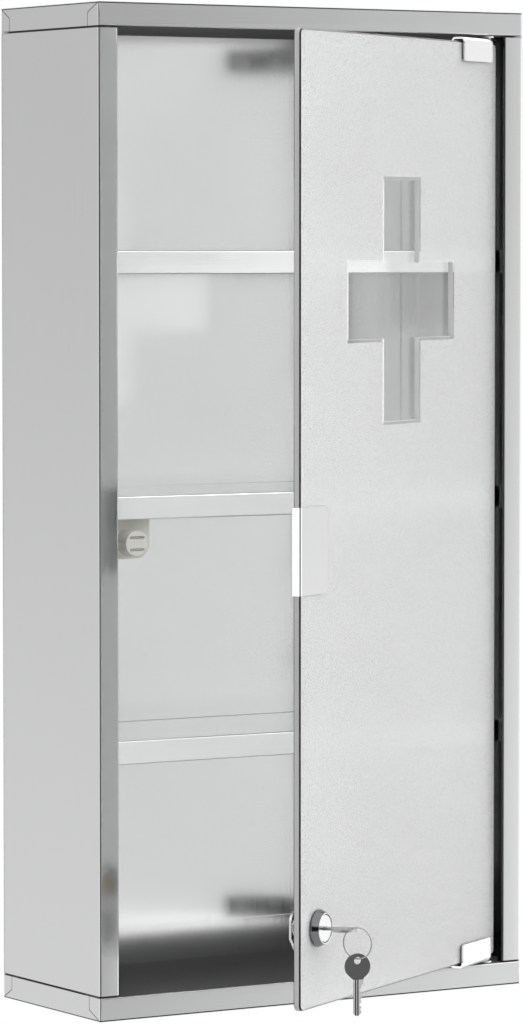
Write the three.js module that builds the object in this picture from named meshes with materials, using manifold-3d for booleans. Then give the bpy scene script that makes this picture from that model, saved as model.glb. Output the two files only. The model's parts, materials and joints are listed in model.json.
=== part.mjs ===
// Wall-hung medicine cabinet of folded stainless sheet with a frosted glass door.
// Millimetres, +X right, +Y into the wall, +Z up. The origin is the middle of the rear face.
import * as THREE from 'three';
import { mergeVertices } from 'three/addons/utils/BufferGeometryUtils.js';
import Module from 'manifold-3d';

// Driving dimensions of the case
const CASE_WIDTH = 300;
const CASE_DEPTH = 118;
const CASE_HEIGHT = 600;
const SHEET = 0.8;
const FOLD_RADIUS = 1.2;
const FIT_GAP = 0.3;
const CAP_BAND = 14.5;
const SEAM_GAP = 0.5;
const STILE_WIDTH = 13.3;
const STILE_RETURN = 5;
const REAR_FLANGE = 13;
const FRONT_TAB = 12.8;
const REAR_TAB = 10.5;
const TAB_DROP = 6.2;
const CAP_RETURN = 13.5;

// Shelves
const SHELF_TOPS = { upper_shelf: 154.6, middle_shelf: 9.6, lower_shelf: -135.4 };
const SHELF_FRONT = -107.4;
const SHELF_LIP = 14.1;
const SHELF_HEM = 7;
const SHELF_REAR_FLANGE = 12;
const SHELF_SIDE_FLANGE = 10;

// Magnetic catch under the middle shelf
const CATCH_X = -120;
const CATCH_Z = -18.4;
const CATCH_FACE = -110.9;
const CATCH_DIAMETER = 15.5;
const CATCH_TAB_WIDTH = 30;
const CATCH_TAB_FRONT = -99.4;
const CATCH_TAB_DROP = 9.6;
const POLE_PITCH = 3.6;

// Door
const GLASS_WIDTH = 266;
const GLASS_HEIGHT = 561.5;
const GLASS_THICKNESS = 4.5;
const GLASS_CORNER = 3.5;
const GLASS_ARRIS = 0.8;
const GLASS_FRONT = -116.6;
const CROSS_Z = 125;
const CROSS_SPAN = 142.6;
const CROSS_UPRIGHT = 48;
const CROSS_LEVEL = 44.8;
const CROSS_DEPTH = 3;
const HINGE_EDGE = 133.4;
const PIVOT_INSET = 6;
const DOOR_REST_ANGLE = 31.1;

// Pivot clamps at the hinge edge
const CLAMP_SHEET = 1.2;
const CLAMP_SPACE = 1.1;
const CLAMP_BRIDGE = 1.45;
const CLAMP_DEPTH = 14.4;
const CLAMP_NEAR = 2.5;
const CLAMP_PLATE_NEAR = 9.5;
const CLAMP_FAR = 49.5;
const PIN_RADIUS = 1.25;
const BUSH_RADIUS = 2.2;

// Handle clip on the free edge
const HANDLE_Z = -17;
const HANDLE_SHEET = 0.6;
const HANDLE_SPACE = 0.3;
const HANDLE_REACH = 34.4;
const HANDLE_HEIGHT = 50.6;
const HANDLE_CORNER = 5;

// Cam lock, measured outwards (u) from the front of the glass
const LOCK_INSET = 22;
const LOCK_Z = -235;
const LOCK_BASE_RADIUS = 10.85;
const LOCK_FACE_RADIUS = 9.25;
const LOCK_FACE = 5.5;
const BARREL_RADIUS = 7.7;
const BARREL_END = -13;
const PLUG_RADIUS = 5.3;
const PLUG_HEAD_RADIUS = 8;
const PLUG_HEAD_DEPTH = 1.8;
const PLUG_END = -13.2;
const PLUG_TAIL = 5.2;
const PLUG_TAIL_LENGTH = 1.6;
const CAM_SHEET = 1.5;
const CAM_WIDTH = 13;
const CAM_REACH = 36.5;

// Keys and ring
const KEY_LENGTH = 36;
const KEY_THICKNESS = 1.4;
const KEY_BOW_RADIUS = 7.5;
const KEY_BLADE_WIDTH = 4.4;
const KEY_HOLE_RADIUS = 2.2;
const KEY_HOLE_INSET = 4.1;
const KEY_INSERTED = 16.5;
const RING_RADIUS = 9;
const RING_WIRE = 0.4;
const RING_OVERHANG = 2;
const RING_DROP = 7.25;
const SPARE_KEY_TWIST = -48;
const SPARE_KEY_DROP = 1;

// Worked-out places
const HALF_WIDTH = CASE_WIDTH / 2;
const HALF_HEIGHT = CASE_HEIGHT / 2;
const BAND_EDGE = HALF_HEIGHT - CAP_BAND;
const PANEL_END = BAND_EDGE - SEAM_GAP;
const PIVOT = new THREE.Vector3(HINGE_EDGE - PIVOT_INSET, GLASS_FRONT + GLASS_THICKNESS / 2, 0);
const GLASS_TOP = GLASS_HEIGHT / 2;
const FREE_EDGE = HINGE_EDGE - GLASS_WIDTH;
const LOCK_X = FREE_EDGE + LOCK_INSET;
const PLUG_FACE = LOCK_FACE - 0.3;
const ROUND = 32;

// Finishes, as seen in daylight
const STEEL = [0xc4c7c8, 0.32, 1.0];
const POLISHED_STEEL = [0xdfe1e2, 0.12, 1.0];
const CHROME = [0xe4e6e8, 0.06, 1.0];
const BRASS = [0xb8955a, 0.3, 1.0];
const KEY_STEEL = [0x8e9194, 0.35, 1.0];
const FERRITE = [0x3d3d3f, 0.7, 0.2];
const GREY_PLASTIC = [0xb9b8b3, 0.5, 0.0];
const NYLON = [0xe8e6df, 0.45, 0.0];
const RUBBER = [0x1b1b1c, 0.8, 0.0];
const GLASS = [0xdfe6e4, 0.35, 0.0];

const wasm = await Module();
wasm.setup();

// Turns a closed geometry into a solid with its faces pointing out.
function solid(geometry) {
  const bare = geometry.clone();
  bare.deleteAttribute('normal');
  bare.deleteAttribute('uv');
  const merged = mergeVertices(bare, 1e-4);
  const points = merged.getAttribute('position').array;
  const corner = (index) => new THREE.Vector3().fromArray(points, index * 3);
  const triangles = [];
  let volume = 0;
  for (let i = 0; i < merged.index.count; i += 3) {
    const [a, b, c] = [0, 1, 2].map((k) => merged.index.getX(i + k));
    if (a === b || b === c || c === a) continue;
    triangles.push([a, b, c]);
    volume += corner(a).dot(corner(b).cross(corner(c)));
  }
  const facing = volume < 0 ? triangles.map(([a, b, c]) => [a, c, b]) : triangles;
  return new wasm.Manifold(new wasm.Mesh({
    numProp: 3,
    vertProperties: new Float32Array(points),
    triVerts: new Uint32Array(facing.flat()),
  }));
}

// Gives a solid back as a geometry with flat facets.
function geometryOf(body) {
  const result = body.getMesh();
  const geometry = new THREE.BufferGeometry();
  geometry.setAttribute('position', new THREE.BufferAttribute(new Float32Array(result.vertProperties), 3));
  geometry.setIndex(new THREE.BufferAttribute(new Uint32Array(result.triVerts), 1));
  geometry.computeVertexNormals();
  return geometry;
}

function piece(name, body, [color, roughness, metalness]) {
  const material = new THREE.MeshStandardMaterial({ color, roughness, metalness });
  const mesh = new THREE.Mesh(geometryOf(body), material);
  mesh.name = name;
  return mesh;
}

function outline(points) {
  return new THREE.Shape(points.map(([x, y]) => new THREE.Vector2(x, y)));
}

// Straight prisms of a flat outline along each axis: (y, z) along X, (x, z) along Y, (x, y) along Z.
function prism(shape, length, matrix) {
  const options = { depth: length, bevelEnabled: false, curveSegments: 5 };
  const geometry = new THREE.ExtrudeGeometry(shape, options);
  return solid(geometry.applyMatrix4(matrix));
}

function alongX(shape, x0, x1) {
  const turn = new THREE.Matrix4().set(0, 0, 1, x0, 1, 0, 0, 0, 0, 1, 0, 0, 0, 0, 0, 1);
  return prism(shape, x1 - x0, turn);
}

function alongY(shape, y0, y1) {
  const turn = new THREE.Matrix4().set(1, 0, 0, 0, 0, 0, -1, y1, 0, 1, 0, 0, 0, 0, 0, 1);
  return prism(shape, y1 - y0, turn);
}

function alongZ(shape, z0, z1) {
  return prism(shape, z1 - z0, new THREE.Matrix4().makeTranslation(0, 0, z0));
}

function block([x0, x1], [y0, y1], [z0, z1]) {
  const box = new THREE.BoxGeometry(x1 - x0, y1 - y0, z1 - z0);
  return solid(box.translate((x0 + x1) / 2, (y0 + y1) / 2, (z0 + z1) / 2));
}

// A revolved profile of [radius, distance] points about an axis through a place.
function turned(profile, place, direction, segments = ROUND) {
  const points = profile.map(([radius, distance]) => new THREE.Vector2(radius, distance));
  const geometry = new THREE.LatheGeometry(points, segments);
  const turn = new THREE.Quaternion().setFromUnitVectors(new THREE.Vector3(0, 1, 0), direction);
  return solid(geometry.applyQuaternion(turn).translate(place.x, place.y, place.z));
}

function rod(radius, from, to, place, direction, segments = ROUND) {
  return turned([[0, from], [radius, from], [radius, to], [0, to]], place, direction, segments);
}

// A rectangle whose corners have their own radii, from the lower left corner anticlockwise.
function roundedRect(x0, x1, y0, y1, [r0, r1, r2, r3]) {
  const shape = new THREE.Shape();
  shape.moveTo(x0 + r0, y0);
  shape.lineTo(x1 - r1, y0);
  if (r1 > 0) shape.absarc(x1 - r1, y0 + r1, r1, -Math.PI / 2, 0);
  shape.lineTo(x1, y1 - r2);
  if (r2 > 0) shape.absarc(x1 - r2, y1 - r2, r2, 0, Math.PI / 2);
  shape.lineTo(x0 + r3, y1);
  if (r3 > 0) shape.absarc(x0 + r3, y1 - r3, r3, Math.PI / 2, Math.PI);
  shape.lineTo(x0, y0 + r0);
  if (r0 > 0) shape.absarc(x0 + r0, y0 + r0, r0, Math.PI, Math.PI * 1.5);
  return shape;
}

// The cut edge of a folded sheet: a path along the middle of the sheet, with a bend at each inner point.
function foldedSheet(path, sheet, outerRadius, steps = 4) {
  const middleRadius = Math.max(outerRadius - sheet / 2, sheet * 0.6);
  const points = path.map(([x, y]) => new THREE.Vector2(x, y));
  const sides = { left: [], right: [] };
  const add = (point, normal) => {
    sides.left.push(point.clone().addScaledVector(normal, sheet / 2));
    sides.right.push(point.clone().addScaledVector(normal, -sheet / 2));
  };
  const normalOf = (direction) => new THREE.Vector2(-direction.y, direction.x);
  const directions = points.slice(1).map((point, i) => point.clone().sub(points[i]).normalize());
  add(points[0], normalOf(directions[0]));
  for (let i = 1; i < points.length - 1; i += 1) {
    const [before, after] = [directions[i - 1], directions[i]];
    const turn = Math.atan2(before.cross(after), before.dot(after));
    const set = middleRadius * Math.tan(Math.abs(turn) / 2);
    const start = points[i].clone().addScaledVector(before, -set);
    const centre = start.clone().addScaledVector(normalOf(before), Math.sign(turn) * middleRadius);
    for (let k = 0; k <= steps; k += 1) {
      const angle = (turn * k) / steps;
      const normal = normalOf(before).rotateAround(new THREE.Vector2(), angle);
      add(centre.clone().addScaledVector(normal, -Math.sign(turn) * middleRadius), normal);
    }
  }
  add(points.at(-1), normalOf(directions.at(-1)));
  return new THREE.Shape([...sides.left, ...sides.right.reverse()]);
}

// A spot-welded joggle tongue that carries a panel up inside the flange of a cap.
// "face" is the inner face of the panel, and "inward" points from it into the case.
function tongueOutline(face, inward, end) {
  const lap = 22;
  const rise = 12;
  const joggle = 2;
  const at = (offset, height) => [face + inward * offset, end * (PANEL_END + height)];
  return outline([
    at(-0.05, -lap),
    at(-0.05, -joggle),
    at(FIT_GAP, SEAM_GAP),
    at(FIT_GAP, rise),
    at(FIT_GAP + SHEET, rise),
    at(FIT_GAP + SHEET, SEAM_GAP - 0.3),
    at(SHEET, -joggle - 0.3),
    at(SHEET, -lap),
  ]);
}

// A side panel: return, stile, side and rear flange folded from one sheet.
function sidePanel(side) {
  const mid = SHEET / 2;
  const wall = side * (HALF_WIDTH - mid);
  const returnX = side * (HALF_WIDTH - STILE_WIDTH + mid);
  const rearY = -(SHEET + FIT_GAP + mid);
  const section = foldedSheet([
    [returnX, -CASE_DEPTH + STILE_RETURN],
    [returnX, -CASE_DEPTH + mid],
    [wall, -CASE_DEPTH + mid],
    [wall, rearY],
    [side * (HALF_WIDTH - REAR_FLANGE), rearY],
  ], SHEET, FOLD_RADIUS);
  let panel = alongZ(section, -PANEL_END, PANEL_END);
  for (const end of [1, -1]) {
    const tongue = tongueOutline(side * (HALF_WIDTH - SHEET), -side, end);
    panel = panel.add(alongY(tongue, -CASE_DEPTH + 20, -16));
  }
  return panel;
}

// The seam where a flange tab is wrapped round a corner: a mitre from the fold, then straight down.
function tabSeam(edgeY, inward, end, width, side) {
  const cut = 0.45;
  const path = [
    [edgeY + inward * 1.2, end * (HALF_HEIGHT - 1.0)],
    [edgeY + inward * width, end * (HALF_HEIGHT - TAB_DROP)],
    [edgeY + inward * width, end * (BAND_EDGE - 1)],
  ];
  const [from, to] = [HALF_WIDTH - SHEET - 0.4, HALF_WIDTH + 1].map((x) => side * x);
  return alongX(foldedSheet(path, cut, 0.6), Math.min(from, to), Math.max(from, to));
}

// One wall of the folded tray: rounded on the folds, grown or shrunk by "inset".
function trayBody(end, inset, open) {
  const radius = FOLD_RADIUS - inset;
  const half = HALF_WIDTH - inset;
  const [front, back] = [-CASE_DEPTH + inset, -inset];
  const [low, high] = [open ? BAND_EDGE - 1 : BAND_EDGE, HALF_HEIGHT - inset];
  const lowFold = open ? 0 : FOLD_RADIUS;
  const spanZ = end > 0 ? [low, high] : [-high, -low];
  const folds = end > 0 ? [0, 0, radius, radius] : [radius, radius, 0, 0];
  const frontFolds = end > 0 ? [lowFold, 0, radius, radius] : [radius, radius, 0, lowFold];
  const lengthways = alongX(roundedRect(front, back, ...spanZ, frontFolds), -half, half);
  const crossways = alongY(roundedRect(-half, half, ...spanZ, folds), front, back);
  const upright = alongZ(roundedRect(-half, half, front, back, [radius, radius, radius, radius]), ...spanZ);
  return lengthways.intersect(crossways).intersect(upright);
}

// A cap: a tray with four flanges and wrapped corner tabs. Its front return holds the door pivot and
// runs on to the back panel as the ceiling or floor of the case, between the tongues of the side panels.
function cap(end) {
  const spanZ = [end * BAND_EDGE, end * (BAND_EDGE + SHEET)].sort((a, b) => a - b);
  const reach = HALF_WIDTH - SHEET - FIT_GAP;
  const mid = SHEET / 2;
  const returnFold = foldedSheet([
    [-CASE_DEPTH + mid, end * (BAND_EDGE + CAP_BAND / 2)],
    [-CASE_DEPTH + mid, end * (BAND_EDGE + mid)],
    [-CASE_DEPTH + CAP_RETURN, end * (BAND_EDGE + mid)],
  ], SHEET, FOLD_RADIUS);
  const shell = trayBody(end, 0, false).subtract(trayBody(end, SHEET, true));
  const plateReach = reach - SHEET - 2 * FIT_GAP;
  const plate = block([-plateReach, plateReach],
    [-CASE_DEPTH + CAP_RETURN - 1, -2 * (SHEET + FIT_GAP)], spanZ);
  let tray = shell.add(alongX(returnFold, -reach, reach)).add(plate);
  for (const side of [1, -1]) {
    tray = tray.subtract(tabSeam(-CASE_DEPTH, 1, end, FRONT_TAB, side));
    tray = tray.subtract(tabSeam(0, -1, end, REAR_TAB, side));
  }
  const up = new THREE.Vector3(0, 0, 1);
  return tray.subtract(rod(BUSH_RADIUS + FIT_GAP, spanZ[0] - 1, spanZ[1] + 1, PIVOT, up));
}

// The back panel, with keyholes for two screws near the top and two holes below.
function backPanel() {
  const half = HALF_WIDTH - FIT_GAP;
  let panel = block([-half, half], [-SHEET, 0], [-PANEL_END, PANEL_END]);
  for (const end of [1, -1]) {
    const tongue = tongueOutline(-SHEET, -1, end);
    panel = panel.add(alongX(tongue, -HALF_WIDTH + 30, HALF_WIDTH - 30));
  }
  const [holeX, holeZ] = [105, 225];
  const [headRadius, neckRadius, neckRise] = [5, 2.6, 11];
  const outwards = new THREE.Vector3(0, 1, 0);
  for (const side of [1, -1]) {
    const x = side * holeX;
    const neck = roundedRect(x - neckRadius, x + neckRadius, holeZ, holeZ + neckRise,
      [0, 0, neckRadius, neckRadius]);
    panel = panel.subtract(rod(headRadius, -2, 1, new THREE.Vector3(x, 0, holeZ), outwards, 24));
    panel = panel.subtract(alongY(neck, -2, 1));
    panel = panel.subtract(rod(neckRadius, -2, 1, new THREE.Vector3(x, 0, -holeZ), outwards, 24));
  }
  return panel;
}

// A shelf: hemmed lip, deck and rear flange from one fold, with flanges down at both ends.
function shelf(top) {
  const mid = SHEET / 2;
  const half = HALF_WIDTH - SHEET - FIT_GAP;
  const lipY = SHELF_FRONT + mid;
  const rearY = -(2 * SHEET + 2 * FIT_GAP + mid);
  const section = foldedSheet([
    [lipY + SHELF_HEM, top - SHELF_LIP + mid],
    [lipY, top - SHELF_LIP + mid],
    [lipY, top - mid],
    [rearY, top - mid],
    [rearY, top - SHELF_REAR_FLANGE],
  ], SHEET, FOLD_RADIUS);
  let deck = alongX(section, -half, half);
  for (const side of [1, -1]) {
    const spanX = [side * half, side * (half - SHEET)].sort((a, b) => a - b);
    const spanY = [SHELF_FRONT + FOLD_RADIUS + 1, rearY - FOLD_RADIUS];
    deck = deck.add(block(spanX, spanY, [top - SHELF_SIDE_FLANGE, top]));
  }
  return deck;
}

// The catch: a moulded bracket under the shelf, a round housing, the magnet and its two pole plates.
function catchPieces() {
  const along = new THREE.Vector3(0, 1, 0);
  const bracketSheet = 1;
  const tabY = CATCH_TAB_FRONT + bracketSheet / 2;
  const footZ = SHELF_TOPS.middle_shelf - SHEET - FIT_GAP - bracketSheet / 2;
  const low = CATCH_Z - CATCH_TAB_DROP;
  const half = CATCH_TAB_WIDTH / 2;
  const bend = foldedSheet([[tabY + 16, footZ], [tabY, footZ], [tabY, low]], bracketSheet, 2);
  const round = CATCH_TAB_DROP - 0.1;
  const face = roundedRect(CATCH_X - half, CATCH_X + half, low, footZ + 2, [round, round, 0, 0]);
  let bracket = alongX(bend, CATCH_X - half, CATCH_X + half);
  bracket = bracket.intersect(alongY(face, tabY - 2, tabY + 20));

  const radius = CATCH_DIAMETER / 2;
  const rear = CATCH_TAB_FRONT - FIT_GAP;
  const edge = 0.9;
  const centre = new THREE.Vector3(CATCH_X, 0, CATCH_Z);
  let housing = turned([[0, CATCH_FACE], [radius - edge, CATCH_FACE], [radius - 0.3, CATCH_FACE + 0.3],
    [radius, CATCH_FACE + edge], [radius, rear], [0, rear]], centre, along);
  const [poleHalf, poleSheet, magnetHalf] = [4.5, 0.8, 2.7];
  const around = (halfX, z0, z1, y0, y1) =>
    block([CATCH_X - halfX, CATCH_X + halfX], [y0, y1], [CATCH_Z + z0, CATCH_Z + z1]);
  const wall = 2.4;
  housing = housing.subtract(around(poleHalf + FIT_GAP, -magnetHalf - FIT_GAP, magnetHalf + FIT_GAP,
    CATCH_FACE + wall, rear + 1));
  const pieces = [];
  const poleNames = { lower_pole_plate: -1, upper_pole_plate: 1 };
  for (const [name, end] of Object.entries(poleNames)) {
    const centreZ = end * POLE_PITCH;
    const spanZ = [centreZ - poleSheet / 2, centreZ + poleSheet / 2];
    housing = housing.subtract(around(poleHalf + FIT_GAP, spanZ[0] - FIT_GAP, spanZ[1] + FIT_GAP,
      CATCH_FACE - 1, rear + 1));
    pieces.push(piece(name, around(poleHalf, ...spanZ, CATCH_FACE, rear - 1), STEEL));
  }
  const magnet = around(poleHalf, -magnetHalf, magnetHalf, CATCH_FACE + wall + FIT_GAP, rear - 0.2);
  pieces.push(piece('catch_magnet', magnet, FERRITE));

  const screwPitch = 6;
  const screwNames = { lower_catch_screw: -1, upper_catch_screw: 1 };
  for (const [name, end] of Object.entries(screwNames)) {
    const place = new THREE.Vector3(CATCH_X, CATCH_TAB_FRONT, CATCH_Z + end * screwPitch);
    const headAt = bracketSheet + FIT_GAP;
    const screw = turned([[0, -6], [0.6, -6], [0.6, headAt], [1.7, headAt], [1.7, headAt + 0.7],
      [1.1, headAt + 1.2], [0, headAt + 1.2]], place, along, 16);
    const bore = rod(0.6 + FIT_GAP, -6.4, 3, place, along, 16);
    housing = housing.subtract(bore);
    bracket = bracket.subtract(bore);
    pieces.push(piece(name, screw, STEEL));
  }
  pieces.push(piece('catch_bracket', bracket, GREY_PLASTIC));
  pieces.push(piece('catch_housing', housing, GREY_PLASTIC));
  return pieces;
}

// A flanged nylon bush that snaps into the return of a cap and takes the pivot pin.
function pivotBush(end) {
  const bore = PIN_RADIUS + FIT_GAP;
  const under = BAND_EDGE - FIT_GAP;
  const over = BAND_EDGE + SHEET + FIT_GAP;
  const profile = [[bore, under - 0.9], [3.1, under - 0.9], [3.1, under], [BUSH_RADIUS, under],
    [BUSH_RADIUS, over], [BUSH_RADIUS + 0.4, over], [BUSH_RADIUS, over + 2.4], [bore, over + 2.4],
    [bore, under - 0.9]];
  return turned(profile, PIVOT, new THREE.Vector3(0, 0, end), 24);
}

// The cross is sunk into the front of the pane: two bars of equal length, one upright and one level.
function sunkCross() {
  const middle = FREE_EDGE + GLASS_WIDTH / 2;
  const depth = [GLASS_FRONT - 1, GLASS_FRONT + CROSS_DEPTH];
  const bar = (width, height) => block(
    [middle - width / 2, middle + width / 2], depth, [CROSS_Z - height / 2, CROSS_Z + height / 2]);
  return bar(CROSS_UPRIGHT, CROSS_SPAN).add(bar(CROSS_SPAN, CROSS_LEVEL));
}

// The pane: rounded corners, ground arrises, the sunk cross and a hole for the lock.
function pane() {
  const shape = roundedRect(FREE_EDGE + GLASS_ARRIS, HINGE_EDGE - GLASS_ARRIS,
    -GLASS_TOP + GLASS_ARRIS, GLASS_TOP - GLASS_ARRIS, Array(4).fill(GLASS_CORNER - GLASS_ARRIS));
  const geometry = new THREE.ExtrudeGeometry(shape, {
    depth: GLASS_THICKNESS - 2 * GLASS_ARRIS,
    bevelEnabled: true,
    bevelThickness: GLASS_ARRIS,
    bevelSize: GLASS_ARRIS,
    bevelSegments: 1,
    curveSegments: 6,
  });
  const back = GLASS_FRONT + GLASS_THICKNESS - GLASS_ARRIS;
  const turn = new THREE.Matrix4().set(1, 0, 0, 0, 0, 0, -1, back, 0, 1, 0, 0, 0, 0, 0, 1);
  const hole = rod(BARREL_RADIUS + FIT_GAP, -1, GLASS_THICKNESS + 1,
    new THREE.Vector3(LOCK_X, GLASS_FRONT, LOCK_Z), new THREE.Vector3(0, 1, 0));
  return solid(geometry.applyMatrix4(turn)).subtract(hole).subtract(sunkCross());
}

// One pivot clamp: a bent saddle over the edge of the pane, its rubber pad, the pin and two screws.
function clampPieces(level, end) {
  const up = new THREE.Vector3(0, 0, end);
  const back = GLASS_FRONT + GLASS_THICKNESS;
  const under = GLASS_TOP + CLAMP_BRIDGE;
  const mid = CLAMP_SHEET / 2;
  const [frontY, backY] = [GLASS_FRONT - CLAMP_SPACE - mid, back + CLAMP_SPACE + mid];
  const low = under + CLAMP_SHEET - CLAMP_DEPTH;
  const saddle = foldedSheet([
    [frontY, end * low],
    [frontY, end * (under + mid)],
    [backY, end * (under + mid)],
    [backY, end * low],
  ], CLAMP_SHEET, 2.4, 5);
  const [far, near] = [HINGE_EDGE - CLAMP_FAR, HINGE_EDGE - CLAMP_NEAR];
  const plateNear = HINGE_EDGE - CLAMP_PLATE_NEAR;
  const top = under + CLAMP_SHEET;
  const spanZ = [end * low, end * (top + 1)].sort((a, b) => a - b);
  const round = 2;
  const rounds = end > 0 ? [round, round, 0, 0] : [0, 0, round, round];
  const frontFace = roundedRect(far, plateNear, ...spanZ, rounds);
  const ear = block([far, near], [GLASS_FRONT - CLAMP_SPACE + 0.2, back + CLAMP_SPACE + 2], spanZ);
  const earRound = alongY(roundedRect(far, near, ...spanZ, rounds), frontY - 2, backY + 2);
  const plateSide = alongY(frontFace, frontY - 2, GLASS_FRONT - CLAMP_SPACE + 0.3);
  let clamp = alongX(saddle, far, near).intersect(ear.add(plateSide)).intersect(earRound.add(plateSide));
  clamp = clamp.subtract(rod(PIN_RADIUS + FIT_GAP, GLASS_TOP, top + 2, PIVOT, up));

  const [padGap, padSheet] = [0.25, 0.6];
  const padMid = padGap + padSheet / 2;
  const padOutline = foldedSheet([
    [GLASS_FRONT - padMid, end * (low + 0.8)],
    [GLASS_FRONT - padMid, end * (GLASS_TOP + padMid)],
    [back + padMid, end * (GLASS_TOP + padMid)],
    [back + padMid, end * (low + 0.8)],
  ], padSheet, 0.8, 3);
  const headRadius = 2.4;
  const pad = alongX(padOutline, far + 0.8, plateNear - 0.8);

  const headLow = GLASS_TOP + 0.3;
  const headTop = under - 0.25;
  const pin = turned([[0, headLow], [headRadius, headLow], [headRadius, headTop], [PIN_RADIUS, headTop],
    [PIN_RADIUS, BAND_EDGE + 5], [PIN_RADIUS - 0.5, BAND_EDGE + 5.5], [0, BAND_EDGE + 5.5]], PIVOT, up, 24);

  const pieces = [];
  const inwards = new THREE.Vector3(0, 1, 0);
  const insets = { outer: 18, inner: 39 };
  for (const [name, inset] of Object.entries(insets)) {
    const place = new THREE.Vector3(HINGE_EDGE - inset, back + CLAMP_SPACE, end * (low + 5.4));
    const seat = CLAMP_SHEET + 0.2;
    const screw = turned([[0, 0], [1.4, 0], [1.4, seat], [2.6, seat], [2.6, seat + 0.8], [1.9, seat + 1.5],
      [0, seat + 1.5]], place, inwards, 20);
    clamp = clamp.subtract(rod(1.4 + FIT_GAP, -1, seat + 1, place, inwards, 20));
    pieces.push(piece(`${level}_clamp_${name}_screw`, screw, STEEL));
  }
  pieces.push(piece(`${level}_hinge_clamp`, clamp, POLISHED_STEEL));
  pieces.push(piece(`${level}_clamp_pad`, pad, RUBBER));
  pieces.push(piece(`${level}_pivot_pin`, pin, STEEL));
  return pieces;
}

// The handle: a thin plate bonded round the free edge. Its rear leaf meets the magnetic catch.
function doorHandle() {
  const mid = HANDLE_SPACE + HANDLE_SHEET / 2;
  const back = GLASS_FRONT + GLASS_THICKNESS;
  const tip = FREE_EDGE + HANDLE_REACH;
  const [low, high] = [HANDLE_Z - HANDLE_HEIGHT / 2, HANDLE_Z + HANDLE_HEIGHT / 2];
  const bend = foldedSheet([
    [tip, GLASS_FRONT - mid],
    [FREE_EDGE - mid, GLASS_FRONT - mid],
    [FREE_EDGE - mid, back + mid],
    [tip, back + mid],
  ], HANDLE_SHEET, 1.1);
  const face = roundedRect(FREE_EDGE - 5, tip, low, high, [0, HANDLE_CORNER, HANDLE_CORNER, 0]);
  return alongZ(bend, low, high).intersect(alongY(face, GLASS_FRONT - 5, back + 5));
}

// Lock pieces are revolved about the lock axis, which points out of the door.
const LOCK_PLACE = new THREE.Vector3(LOCK_X, GLASS_FRONT, LOCK_Z);
const OUTWARDS = new THREE.Vector3(0, -1, 0);

// The housing: a bevelled collar with a recess for the plug's head, on a barrel through the pane.
function lockHousing() {
  const bore = PLUG_RADIUS + FIT_GAP;
  const recess = PLUG_HEAD_RADIUS + FIT_GAP;
  const ledge = LOCK_FACE - PLUG_HEAD_DEPTH;
  const seat = 0.9;
  return turned([[bore, ledge], [recess, ledge], [recess, LOCK_FACE - 0.2], [recess + 0.2, LOCK_FACE],
    [LOCK_FACE_RADIUS - 0.4, LOCK_FACE], [LOCK_FACE_RADIUS, LOCK_FACE - 0.4], [LOCK_BASE_RADIUS - 0.4, 2.2],
    [LOCK_BASE_RADIUS, 1.7], [LOCK_BASE_RADIUS, seat], [BARREL_RADIUS, seat],
    [BARREL_RADIUS, BARREL_END + 0.6], [BARREL_RADIUS - 0.6, BARREL_END], [bore, BARREL_END],
    [bore, ledge]], LOCK_PLACE, OUTWARDS, 40);
}

function lockGasket() {
  const inner = BARREL_RADIUS + FIT_GAP;
  return turned([[inner, 0.25], [LOCK_BASE_RADIUS - 0.3, 0.25], [LOCK_BASE_RADIUS - 0.3, 0.65],
    [inner, 0.65], [inner, 0.25]], LOCK_PLACE, OUTWARDS, 40);
}

function lockNut() {
  const acrossFlats = 20;
  const corner = acrossFlats / Math.sqrt(3);
  const thick = 4;
  const from = GLASS_FRONT + GLASS_THICKNESS + FIT_GAP;
  const hex = outline([0, 1, 2, 3, 4, 5].map((k) => {
    const angle = (k * Math.PI) / 3;
    return [LOCK_X + corner * Math.cos(angle), LOCK_Z + corner * Math.sin(angle)];
  }));
  const bevel = turned([[0, -4], [corner - 0.9, -GLASS_THICKNESS], [corner, -GLASS_THICKNESS - 1],
    [corner, -GLASS_THICKNESS - thick + 0.5], [corner - 0.9, -GLASS_THICKNESS - thick - FIT_GAP],
    [0, -GLASS_THICKNESS - thick - 1]], LOCK_PLACE, OUTWARDS);
  const bore = rod(BARREL_RADIUS + FIT_GAP, -20, 2, LOCK_PLACE, OUTWARDS);
  return alongY(hex, from, from + thick).intersect(bevel).subtract(bore);
}

// The plug turns in the housing. Its keyway lies flat across its head, and its square tail drives the cam.
function lockPlug() {
  const under = LOCK_FACE - PLUG_HEAD_DEPTH + FIT_GAP;
  const barrel = turned([[0, PLUG_FACE], [PLUG_HEAD_RADIUS - 0.3, PLUG_FACE],
    [PLUG_HEAD_RADIUS, PLUG_FACE - 0.3], [PLUG_HEAD_RADIUS, under], [PLUG_RADIUS, under],
    [PLUG_RADIUS, PLUG_END], [0, PLUG_END]], LOCK_PLACE, OUTWARDS, 40);
  const half = PLUG_TAIL / 2;
  const tail = block([LOCK_X - half, LOCK_X + half],
    [GLASS_FRONT - PLUG_END - 0.2, GLASS_FRONT - PLUG_END + PLUG_TAIL_LENGTH],
    [LOCK_Z - half, LOCK_Z + half]);
  const [slotHalf, slotRise] = [KEY_BLADE_WIDTH / 2 + FIT_GAP, KEY_THICKNESS / 2 + FIT_GAP];
  const keyway = block([LOCK_X - slotHalf, LOCK_X + slotHalf],
    [GLASS_FRONT - LOCK_FACE - 1, GLASS_FRONT - PLUG_END - 0.8],
    [LOCK_Z - slotRise, LOCK_Z + slotRise]);
  const tap = rod(1.6 + FIT_GAP, PLUG_END - 4, PLUG_END + 0.5, LOCK_PLACE, OUTWARDS, 20);
  return barrel.add(tail).subtract(keyway).subtract(tap);
}

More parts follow.
